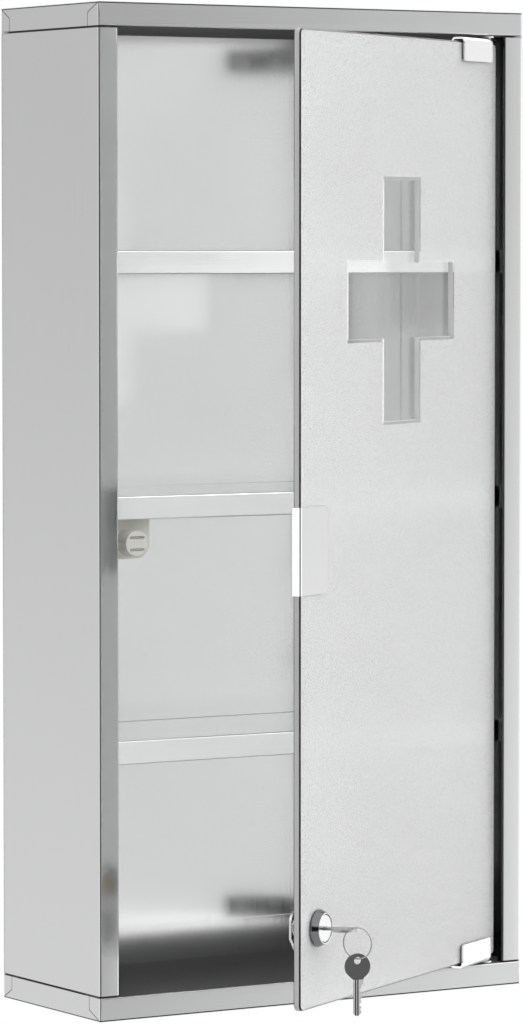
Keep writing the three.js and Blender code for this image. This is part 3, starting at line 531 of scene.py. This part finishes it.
def clear_glass():
    """Polished float glass with faint smudges."""
    made, tree, shader = material("clear_glass")
    place = add(tree, "ShaderNodeTexCoord").outputs["Object"]
    patches = placed(tree, HAND_SMUDGES, {"Place": place, "Size": HAND_SIZE})
    duller = ramp(tree, patches, 0, 1, CLEAR_ROUGHNESS, SMUDGED_ROUGHNESS)
    tree.links.new(duller, shader.inputs["Roughness"])
    tree.links.new(mix_colour(tree, patches, CLEAR, SMUDGED), shader.inputs["Base Color"])
    shader.inputs["IOR"].default_value = GLASS_IOR
    shader.inputs["Transmission Weight"].default_value = 1.0
    return made


def etched_glass(name, roughness, let_through, pale, dull):
    """A matt glass skin that scatters a part of the light and lets the rest through."""
    made, tree, shader = material(name)
    place = add(tree, "ShaderNodeTexCoord").outputs["Object"]
    grain = placed(tree, FINE_GRAIN, {"Place": place, "Size": ETCH_GRAIN})
    patches = placed(tree, HAND_SMUDGES, {"Place": place, "Size": ETCH_PATCHES})
    tree.links.new(ramp(tree, grain, FINE_SPECKS, COARSE_SPECKS, *roughness), shader.inputs["Roughness"])
    tint = mix_colour(tree, patches, (*pale, 1), (*dull, 1))
    tree.links.new(tint, shader.inputs["Base Color"])
    bump = add(tree, "ShaderNodeBump", {
        "Strength": ETCH_RELIEF, "Distance": GRAIN_HEIGHT, "Height": grain,
    })
    tree.links.new(bump.outputs["Normal"], shader.inputs["Normal"])
    shader.inputs["IOR"].default_value = SKIN_IOR
    shader.inputs["Transmission Weight"].default_value = let_through
    return made


glass = clear_glass()
etched = etched_glass("etched_glass", roughness=(0.2, 0.75), let_through=0.77,
                      pale=(0.99, 0.995, 0.995), dull=(0.97, 0.975, 0.975))
ground = etched_glass("ground_glass", roughness=(0.45, 0.6), let_through=0.45,
                      pale=(0.66, 0.665, 0.665), dull=(0.62, 0.625, 0.625))
ground_pale = etched_glass("ground_cross_glass", roughness=(0.45, 0.6), let_through=0.2,
                           pale=(0.97, 0.975, 0.975), dull=(0.94, 0.945, 0.945))
print("glass ready")


# %% [markdown]
# ## Dressing the CAD pieces
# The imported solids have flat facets, also on round collars and folds. A small Geometry Nodes
# modifier merges their corners and shades everything smooth except edges sharper than a limit, so
# that rounds look round and folds stay crisp. A Weighted Normal modifier then lets the large faces
# decide, so that a sheet stays flat right up to its bend. The meshes themselves are left as they are.

# %% Smooth rounds
SHARP_EDGE = radians(28)
SAME_CORNER = 0.002 * MM


def smooth_rounds():
    """A modifier group that merges corners and smooths shallow edges."""
    tree = bpy.data.node_groups.new("smooth_rounds", "GeometryNodeTree")
    tree.is_modifier = True
    tree.interface.new_socket("Geometry", in_out="INPUT", socket_type="NodeSocketGeometry")
    tree.interface.new_socket("Geometry", in_out="OUTPUT", socket_type="NodeSocketGeometry")
    start, end = tree.nodes.new("NodeGroupInput"), tree.nodes.new("NodeGroupOutput")
    merged = add(tree, "GeometryNodeMergeByDistance", {
        "Geometry": start.outputs[0], "Distance": SAME_CORNER})
    smooth = add(tree, "GeometryNodeSetShadeSmooth", {
        "Geometry": merged.outputs["Geometry"], "Shade Smooth": True}, domain="FACE")
    angle = add(tree, "GeometryNodeInputMeshEdgeAngle").outputs["Unsigned Angle"]
    sharp = add(tree, "FunctionNodeCompare", {0: angle, 1: SHARP_EDGE}, operation="GREATER_THAN")
    creased = add(tree, "GeometryNodeSetShadeSmooth", {
        "Geometry": smooth.outputs["Geometry"], "Selection": sharp.outputs["Result"],
        "Shade Smooth": False}, domain="EDGE")
    tree.links.new(creased.outputs["Geometry"], end.inputs[0])
    return tree


SMOOTH_ROUNDS = smooth_rounds()
print("modifier", SMOOTH_ROUNDS.name, "ready")


# %% [markdown]
# The record names a material slot for each piece, and each slot has its finish. Some pieces have a
# finish of their own: the caps and shelves with their level grain, and those with zones or two tones.

# %% Finishes of the pieces
finishes = {
    "satin_steel": satin_upright, "polished_steel": polished_steel, "chrome": chrome, "brass": brass,
    "key_steel": key_steel, "fastener_steel": fastener_steel, "ferrite": ferrite,
    "grey_plastic": grey_plastic, "nylon": nylon, "rubber": rubber, "frosted_glass": glass,
}
own_finishes = {
    "top_cap": satin_level, "bottom_cap": satin_level, "back_panel": satin_back,
    "upper_shelf": painted_light_level, "middle_shelf": painted_light_level, "lower_shelf": painted_light_level,
    "door_handle": handle_steel, "lock_housing": lock_chrome, "spare_key": spare_key_steel,
}
for subpart in frame["record"]["subparts"]:
    name = subpart["node"]
    finish = own_finishes.get(name, finishes[subpart["material_slot"]])
    nodes[name].data.materials.clear()
    nodes[name].data.materials.append(finish)
    rounds = nodes[name].modifiers.new("smooth_rounds", "NODES")
    rounds.node_group = SMOOTH_ROUNDS
    flats = nodes[name].modifiers.new("flat_faces", "WEIGHTED_NORMAL")
    flats.mode = "FACE_AREA_WITH_ANGLE"
    flats.keep_sharp = True


# %% [markdown]
# ## Copies that get finer detail
# Keys and screws need cuts that are too small for the solids: grooves along a blade, a cross in a
# screw head. Each is made from a copy of its own CAD piece, so it cannot miss its place. The copy's
# loose triangles are merged and its flat faces cleaned first. A cutter is then modelled, taken away
# with a Boolean modifier, and the new edges are broken with a fine bevel.

# %% Tools for fine pieces
FLAT_LIMIT, BEVEL_LIMIT, SMOOTH_LIMIT = radians(0.5), radians(40), radians(35)


def only(piece):
    """Makes one object the whole selection."""
    bpy.ops.object.select_all(action="DESELECT")
    piece.select_set(True)
    bpy.context.view_layer.objects.active = piece


def clean_copy(node, name):
    """A merged copy of a CAD piece, with its flat faces in one."""
    piece = bpy.data.objects.new(name, nodes[node].data.copy())
    bpy.context.scene.collection.objects.link(piece)
    only(piece)
    bpy.ops.object.mode_set(mode="EDIT")
    bpy.ops.mesh.select_all(action="SELECT")
    bpy.ops.mesh.remove_doubles(threshold=SAME_CORNER)
    bpy.ops.mesh.dissolve_limited(angle_limit=FLAT_LIMIT)
    bpy.ops.object.mode_set(mode="OBJECT")
    return piece


def bar(size, place):
    """A square bar of a given size, turned and placed by a matrix, with its place in its mesh."""
    bpy.ops.object.select_all(action="DESELECT")
    bpy.ops.mesh.primitive_cube_add(size=1)
    made = bpy.context.object
    made.data.transform(place @ Matrix.Diagonal((*size, 1)))
    return made


def combine(piece, other, operation):
    """Joins another object to a piece or cuts it away, and removes it."""
    only(piece)
    change = piece.modifiers.new("combined", "BOOLEAN")
    change.operation = operation
    change.solver = "EXACT"
    change.object = other
    bpy.ops.object.modifier_apply(modifier=change.name)
    bpy.data.objects.remove(other)


def break_edges(piece, width):
    """Bevels the sharp edges and smooths the rest."""
    only(piece)
    edge = piece.modifiers.new("broken_edges", "BEVEL")
    edge.width = width
    edge.segments = 2
    edge.limit_method = "ANGLE"
    edge.angle_limit = BEVEL_LIMIT
    edge.use_clamp_overlap = True
    bpy.ops.object.modifier_apply(modifier=edge.name)
    bpy.ops.object.shade_smooth_by_angle(angle=SMOOTH_LIMIT)
    flats = piece.modifiers.new("flat_faces", "WEIGHTED_NORMAL")
    flats.keep_sharp = True
    bpy.ops.object.modifier_apply(modifier=flats.name)


def fitted(piece, node, body, slot):
    """The finished piece stands for its CAD node and rides on its body."""
    piece.data.materials.clear()
    piece.data.materials.append(own_finishes.get(node, finishes[slot]))
    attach(piece, body)
    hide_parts(node)
    print(piece.name, len(piece.data.polygons), "faces")


print("tools for fine pieces ready")


# %% [markdown]
# The skins of the glass are drawn in the door's own upright plane, with the hinge line as origin. A
# plate is a cube drawn flat whose corner edges are bevelled round, a cross is two joined bars, and the
# lock hole is drilled with a cylinder. A hair's breadth of air parts the skins from the pane, so that
# the light still runs inside the glass as it does in a real door.

# %% Plates and cutters in the door's plane
HINGE = Vector(joints["door_swing"]["pos_m"])
DOOR = Matrix.Translation(HINGE) @ Matrix.Rotation(DOOR_ANGLE, 4, "Z")
SKIN, AIR = 0.1 * MM, 0.01 * MM
CORNER_STEPS, DRILL_SIDES, DRILL_DEPTH = 12, 64, 4 * MM
CROSS_SPAN, CROSS_UPRIGHT, CROSS_BAR = 142.6 * MM, 48 * MM, 44.8 * MM
SKIN_SMOOTH = radians(20)


def rounded_plate(width, depth, height, radius, place):
    """An upright plate with round corners, in the door's plane."""
    made = bar((width, depth, height), Matrix())
    only(made)
    bpy.ops.object.mode_set(mode="EDIT")
    bpy.ops.mesh.select_mode(type="EDGE")
    bpy.ops.mesh.select_all(action="DESELECT")
    bpy.ops.object.mode_set(mode="OBJECT")
    points = made.data.vertices
    for edge in made.data.edges:
        run = points[edge.vertices[0]].co - points[edge.vertices[1]].co
        edge.select = abs(run.x) + abs(run.z) < AIR
    bpy.ops.object.mode_set(mode="EDIT")
    bpy.ops.mesh.bevel(offset=radius, segments=CORNER_STEPS, affect="EDGES")
    bpy.ops.object.mode_set(mode="OBJECT")
    made.data.transform(DOOR @ place)
    return made


def cross_block(slack, depth):
    """A cross-shaped block at the origin, a little smaller or larger than the sunk cross."""
    made = bar((CROSS_UPRIGHT - slack, depth, CROSS_SPAN - slack), Matrix())
    combine(made, bar((CROSS_SPAN - slack, depth, CROSS_BAR - slack), Matrix()), "UNION")
    return made


def drill(radius, place):
    """A round cutter through the door's plane."""
    bpy.ops.object.select_all(action="DESELECT")
    bpy.ops.mesh.primitive_cylinder_add(vertices=DRILL_SIDES, radius=radius, depth=DRILL_DEPTH)
    made = bpy.context.object
    made.data.transform(DOOR @ place @ Matrix.Rotation(pi / 2, 4, "X"))
    return made


def on_door(piece, name, finish):
    """A finished glass skin that rides on the door."""
    piece.name = name
    piece.data.materials.clear()
    piece.data.materials.append(finish)
    only(piece)
    bpy.ops.object.shade_smooth_by_angle(angle=SKIN_SMOOTH)
    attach(piece, "door")
    print(name, len(piece.data.polygons), "faces")


print("door plane turned by", round(DOOR_ANGLE, 3))


# %% [markdown]
# The etched face is a thin plate with round corners in front of the pane. It stops at the arrises. The
# cross with its clear border and the hole for the lock are cut out of it.

# %% Etched face
GLASS_WIDTH, GLASS_HEIGHT, GLASS_THICKNESS = 266 * MM, 561.5 * MM, 4.5 * MM
GLASS_CORNER, GLASS_ARRIS = 3.5 * MM, 0.8 * MM
PIVOT_INSET = 6 * MM
GLASS_MIDDLE = PIVOT_INSET - GLASS_WIDTH / 2
CROSS_LEVEL, CROSS_BORDER = 125 * MM, 1.7 * MM
CUTTER_DEPTH = 1 * MM
LOCK_HOLE = 8.2 * MM

lock_spot = DOOR.inverted() @ lock_centre
front = -GLASS_THICKNESS / 2 - AIR - SKIN / 2
face_place = Matrix.Translation((GLASS_MIDDLE, front, 0))
cross_place = Matrix.Translation((GLASS_MIDDLE, front, CROSS_LEVEL))
etched_face = rounded_plate(GLASS_WIDTH - 2 * GLASS_ARRIS, SKIN, GLASS_HEIGHT - 2 * GLASS_ARRIS,
                            GLASS_CORNER - GLASS_ARRIS, face_place)
cross_hole = cross_block(-2 * CROSS_BORDER, CUTTER_DEPTH)
cross_hole.data.transform(DOOR @ cross_place)
combine(etched_face, cross_hole, "DIFFERENCE")
lock_hole = drill(LOCK_HOLE, Matrix.Translation((lock_spot.x, front, lock_spot.z)))
combine(etched_face, lock_hole, "DIFFERENCE")
on_door(etched_face, "etched_face", etched)


# %% [markdown]
# The ground edge is a thin band round the pane: a plate with a slightly smaller plate cut out of it.
# The edge at the hinges is left polished, so the band is cut off a little way before that end.

# %% Ground edge
POLISHED_END = 5 * MM
PAST_FACES, PAST_ENDS = 100 * MM, 1000 * MM

edge_place = Matrix.Translation((GLASS_MIDDLE, 0, 0))
edge_width = GLASS_THICKNESS - 2 * GLASS_ARRIS
rim, hollow = 2 * (AIR + SKIN), 2 * AIR
ground_edge = rounded_plate(GLASS_WIDTH + rim, edge_width, GLASS_HEIGHT + rim,
                            GLASS_CORNER + rim / 2, edge_place)
core = rounded_plate(GLASS_WIDTH + hollow, 2 * edge_width, GLASS_HEIGHT + hollow,
                     GLASS_CORNER + hollow / 2, edge_place)
combine(ground_edge, core, "DIFFERENCE")
hinge_end = bar((2 * POLISHED_END, PAST_FACES, PAST_ENDS), DOOR @ Matrix.Translation((PIVOT_INSET, 0, 0)))
combine(ground_edge, hinge_end, "DIFFERENCE")
on_door(ground_edge, "ground_edge", ground)


# %% [markdown]
# The cross is milled into the pane, so its walls are ground pale while its floor is polished again.
# They are a thin cross-shaped tube just inside the sunk cross.

# %% Ground walls of the cross
CROSS_DEPTH = 3 * MM

wall_place = Matrix.Translation((GLASS_MIDDLE, (CROSS_DEPTH - GLASS_THICKNESS) / 2, CROSS_LEVEL))
ground_cross = cross_block(hollow, CROSS_DEPTH - hollow)
combine(ground_cross, cross_block(rim, 2 * CROSS_DEPTH), "DIFFERENCE")
ground_cross.data.transform(DOOR @ wall_place)
on_door(ground_cross, "ground_cross", ground_pale)


# %% [markdown]
# The keys are flat blanks with milled grooves. Two grooves run along one face of the blade and one
# along the other, from the tip to the neck. In the key's own frame the blade runs along Y, its cuts
# face X and its flat faces look along Z. The key in the lock lies along the lock axis, and the spare
# hangs straight down from the ring, turned about its own length. The spare key's grooves get a dark
# colour as painted shade.

# %% Keys
KEY_LENGTH, KEY_THICKNESS, KEY_EDGE = 36 * MM, 1.4 * MM, 0.12 * MM
GROOVE_WIDTH, GROOVE_DEPTH, GROOVE_LENGTH = 0.8 * MM, 0.38 * MM, 21.5 * MM
PAST_TIP = 2 * MM
FRONT_GROOVES, BACK_GROOVES = (-1.25 * MM, 0.1 * MM), (0.75 * MM,)
# A dark colour as painted shade in the spare key's grooves.
GROOVE_SHADE = (0.06, 0.06, 0.06)
SPARE_TURN = DOOR_ANGLE - radians(48)


def axes(origin, x_axis, y_axis):
    """A matrix with its origin and two of its axes given."""
    turn = Matrix((x_axis, y_axis, x_axis.cross(y_axis))).transposed()
    return Matrix.Translation(origin) @ turn.to_4x4()


def grooved_key(node, body, name, place):
    """A key with milled grooves and broken edges."""
    piece = clean_copy(node, name)
    size = (GROOVE_WIDTH, GROOVE_LENGTH + PAST_TIP, 2 * GROOVE_DEPTH)
    for side, rows in ((1, FRONT_GROOVES), (-1, BACK_GROOVES)):
        for row in rows:
            middle = Vector((row, (GROOVE_LENGTH - PAST_TIP) / 2, side * KEY_THICKNESS / 2))
            combine(piece, bar(size, place @ Matrix.Translation(middle)), "DIFFERENCE")
    break_edges(piece, KEY_EDGE)
    fitted(piece, node, body, "key_steel")


bow_end = reach("key_in_lock", outward)[1] - lock_centre.dot(outward)
lock_key_place = axes(lock_centre + outward * (bow_end - KEY_LENGTH), sideways, outward)
grooved_key("key_in_lock", "key", "milled_key", lock_key_place)

spare_line = Vector(joints["spare_key_swing"]["pos_m"])
spare_tip = Vector((spare_line.x, spare_line.y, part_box("spare_key")[0].z))
spare_side = Vector((cos(SPARE_TURN), sin(SPARE_TURN), 0))
spare_face = spare_side.cross(UP)
# The spare key's grooves are coloured dark as painted shade.
two_tones(spare_key_steel, spare_face, KEY_THICKNESS / 2 - GROOVE_DEPTH / 2, GROOVE_SHADE,
          middle=spare_tip.dot(spare_face))
grooved_key("spare_key", "hanging_key", "milled_spare_key", axes(spare_tip, spare_side, UP))


# %% [markdown]
# The ring is a split ring: flat wire wound almost twice round, so that a key can be threaded in. One
# small oval is the wire's section. The Screw modifier turns it about the ring's axis and moves it
# sideways by a wire's width for each turn, and the two open ends are then filled.

# %% Split ring
RING_RADIUS = 9 * MM
WIRE_RADIAL, WIRE_AXIAL, WIRE_SIDES = 0.36 * MM, 0.185 * MM, 12
RING_TURNS, RING_STEP, RING_STEPS = 1.9, 0.4 * MM, 170
RING_SMOOTH = radians(40)


def wound(name, sides, section, turns, rise, steps):
    """A closed winding about Z: a small section, turned and raised by the Screw modifier."""
    bpy.ops.object.select_all(action="DESELECT")
    bpy.ops.mesh.primitive_circle_add(vertices=sides, radius=1)
    made = bpy.context.object
    made.name = name
    made.data.transform(section)
    winding = made.modifiers.new("winding", "SCREW")
    winding.axis = "Z"
    winding.angle = turns * 2 * pi
    winding.screw_offset = turns * rise
    winding.steps = winding.render_steps = steps
    winding.use_merge_vertices = False
    only(made)
    bpy.ops.object.modifier_apply(modifier=winding.name)
    bpy.ops.object.mode_set(mode="EDIT")
    bpy.ops.mesh.select_mode(type="EDGE")
    bpy.ops.mesh.select_all(action="DESELECT")
    bpy.ops.mesh.select_non_manifold()
    bpy.ops.mesh.fill_holes(sides=0)
    bpy.ops.mesh.select_all(action="SELECT")
    bpy.ops.mesh.normals_make_consistent(inside=False)
    bpy.ops.object.mode_set(mode="OBJECT")
    return made


stood_up = Matrix.Rotation(pi / 2, 4, "X")
oval = stood_up @ Matrix.Diagonal((WIRE_RADIAL, WIRE_AXIAL, 1, 1))
ring_start = Matrix.Translation((RING_RADIUS, 0, -RING_STEP * RING_TURNS / 2))
ring = wound("split_ring", WIRE_SIDES, ring_start @ oval, RING_TURNS, RING_STEP, RING_STEPS)
ring_line = joints["ring_turn"]
ring_axis = Vector(ring_line["axis"])
ring.data.transform(axes(Vector(ring_line["pos_m"]), UP, ring_axis.cross(UP)))
bpy.ops.object.shade_smooth_by_angle(angle=RING_SMOOTH)
fitted(ring, "key_ring", "ring", "key_steel")


# %% [markdown]
# Screws get a cross recess. The head is the end that stands proud of its plate, so the cutter, two
# crossed bars, is set into that end along the screw's axis.

# %% Screws
ARM_WIDTH, ARM_LENGTH, ARM_HEIGHT = 0.28, 1.25, 0.9
CATCH_RECESS, CLAMP_RECESS, CAM_RECESS = 1.5 * MM, 2.4 * MM, 2.6 * MM
SCREW_EDGE = 0.06 * MM
REARWARD = Vector((0, 1, 0))


def head_end(node, axis):
    """The middle of a turned CAD piece's end along an axis, and a line across it."""
    side = axis.cross(UP).normalized()
    centre = Vector()
    for line in (side, UP):
        centre += line * (sum(reach(node, line)) / 2)
    return centre + axis * reach(node, axis)[1], side


def recessed_screw(node, body, slot, axis, size):
    """A screw with a cross recess in its head."""
    piece = clean_copy(node, f"recessed_{node}")
    top, side = head_end(node, axis)
    place = axes(top, side, axis.cross(side))
    for width, length in ((ARM_WIDTH, ARM_LENGTH), (ARM_LENGTH, ARM_WIDTH)):
        combine(piece, bar((width * size, length * size, ARM_HEIGHT * size), place), "DIFFERENCE")
    break_edges(piece, SCREW_EDGE)
    fitted(piece, node, body, slot)


for level in ("upper", "lower"):
    recessed_screw(f"{level}_catch_screw", "cabinet", "fastener_steel", REARWARD, CATCH_RECESS)
    for place in ("outer", "inner"):
        recessed_screw(f"{level}_clamp_{place}_screw", "door", "fastener_steel", inward, CLAMP_RECESS)
recessed_screw("cam_screw", "lock_core", "brass", inward, CAM_RECESS)


# %% [markdown]
# Behind the pane the lock's barrel carries a fine thread for its nut. Only the stretch between nut
# and cam shows. Its ridge is a small triangle, wound round the barrel as the ring's wire was.

# %% Lock thread
BARREL_RADIUS = 7.7 * MM
RIDGE_RISE, RIDGE_WIDTH, RIDGE_SIDES = 0.224 * MM, 0.36 * MM, 3
THREAD_PITCH, THREAD_TURNS, THREAD_STEPS = 0.8 * MM, 4, 160
THREAD_START = -12.4 * MM

point_out = Matrix.Rotation(-pi / 2, 4, "Z")
ridge = stood_up @ Matrix.Diagonal((RIDGE_RISE, RIDGE_WIDTH, 1, 1)) @ point_out
on_barrel = Matrix.Translation((BARREL_RADIUS, 0, 0))
thread = wound("lock_thread", RIDGE_SIDES, on_barrel @ ridge, THREAD_TURNS, THREAD_PITCH, THREAD_STEPS)
thread.data.transform(axes(lock_centre + outward * THREAD_START, sideways, outward.cross(sideways)))
thread.data.materials.append(chrome)
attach(thread, "door")
print("lock thread", len(thread.data.polygons), "faces")
